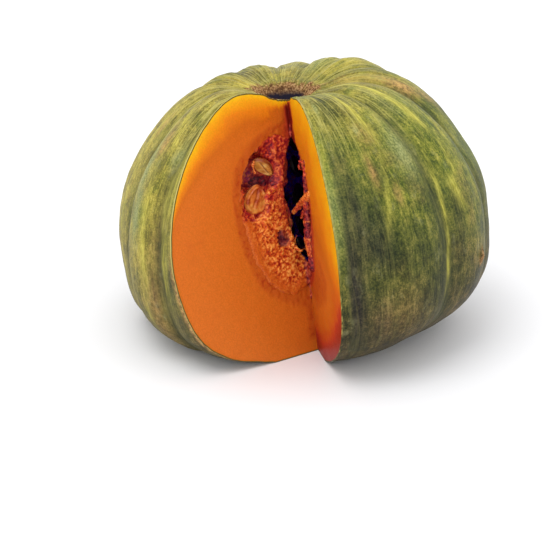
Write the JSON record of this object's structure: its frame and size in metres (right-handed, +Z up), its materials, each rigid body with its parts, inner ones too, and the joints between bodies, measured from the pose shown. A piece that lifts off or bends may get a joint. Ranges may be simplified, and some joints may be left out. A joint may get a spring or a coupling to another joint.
{
  "type": "winter squash",
  "caption": "Ripe winter squash with one wedge cut out, showing orange flesh, stringy pulp and seeds, resting on its base.",
  "frame": {"origin": "centre of the bounding box, at the level of the surface it rests on", "axes": "+Z up, -Y towards the cut notch, +X to the right of someone who faces the notch"},
  "size_m": [0.2206, 0.216, 0.1583],
  "materials": {
    "squash_rind": "satin",
    "seed_pulp": "satin",
    "seed_coat": "satin",
    "squash_flesh": "satin"
  },
  "bodies": {
    "root": {"squash_fruit": "squash_rind", "seed_pulp": "seed_pulp", "seed_01": "seed_coat", "seed_02": "seed_coat", "seed_03": "seed_coat", "seed_04": "seed_coat", "seed_05": "seed_coat", "seed_06": "seed_coat", "seed_07": "seed_coat", "seed_08": "seed_coat", "seed_09": "seed_coat", "seed_10": "seed_coat", "seed_11": "seed_coat", "seed_12": "seed_coat", "seed_13": "seed_coat", "seed_14": "seed_coat", "seed_15": "seed_coat", "seed_16": "seed_coat", "seed_17": "seed_coat", "seed_18": "seed_coat", "seed_19": "seed_coat", "seed_20": "seed_coat", "seed_21": "seed_coat", "seed_22": "seed_coat", "seed_23": "seed_coat", "seed_24": "seed_coat", "seed_25": "seed_coat", "seed_26": "seed_coat", "seed_27": "seed_coat", "seed_28": "seed_coat", "seed_29": "seed_coat", "seed_30": "seed_coat"}
  },
  "joints": []
}
